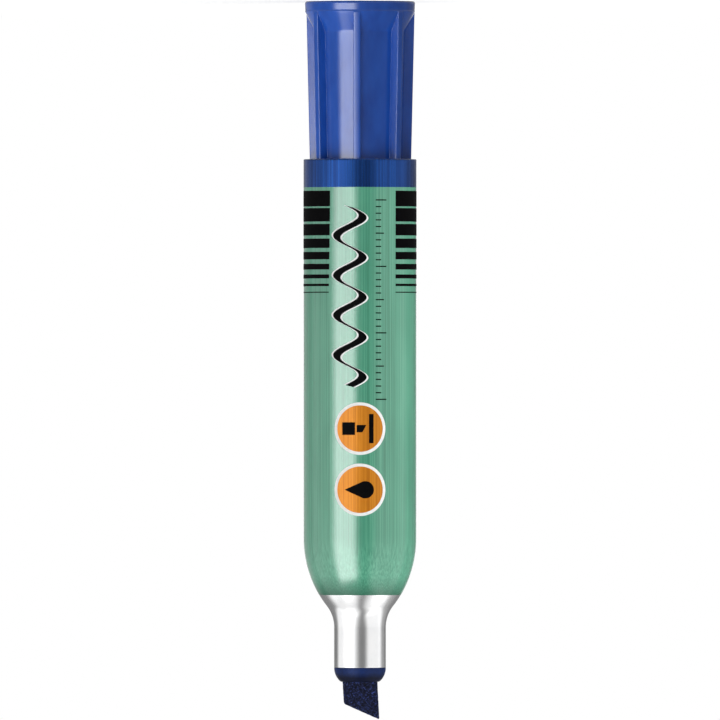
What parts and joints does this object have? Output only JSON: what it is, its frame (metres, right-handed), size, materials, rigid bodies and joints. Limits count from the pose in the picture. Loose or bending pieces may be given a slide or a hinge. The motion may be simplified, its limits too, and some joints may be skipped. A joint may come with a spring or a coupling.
{
  "type": "marker pen",
  "caption": "Permanent marker with a drawn aluminium barrel, felt chisel nib and fluted push-on cap, standing nib up on its posted cap.",
  "frame": {"origin": "centre of the flat ring at the cap's closed end, which the marker stands on", "axes": "+Z along the marker's axis from the cap to the nib, +X across the nib's width with the nib's long corner at -X, +Y through the nib's thickness"},
  "size_m": [0.017, 0.017, 0.1083],
  "materials": {
    "lacquered_aluminium": "green lacquer over brushed metal, bare polished shoulder and neck",
    "holder_plastic": "gloss",
    "nib_felt": "ink-soaked felt",
    "reservoir_fibre": "ink-soaked fibre",
    "reservoir_film": "thin film",
    "breather_plastic": "natural plastic",
    "plug_plastic": "natural plastic",
    "cap_plastic": "gloss",
    "seal_plastic": "natural plastic"
  },
  "bodies": {
    "cap": {"cap_shell": "cap_plastic", "cap_seal": "seal_plastic"},
    "pen": {"barrel": "lacquered_aluminium", "nib_holder": "holder_plastic", "nib": "nib_felt", "reservoir_core": "reservoir_fibre", "reservoir_film": "reservoir_film", "breather_tube": "breather_plastic", "tail_plug": "plug_plastic"}
  },
  "joints": [
    {"name": "cap_pull", "type": "slide", "parent": "cap", "child": "pen", "axis": [0, 0, 1], "range_m": [0, 0.03]}
  ]
}
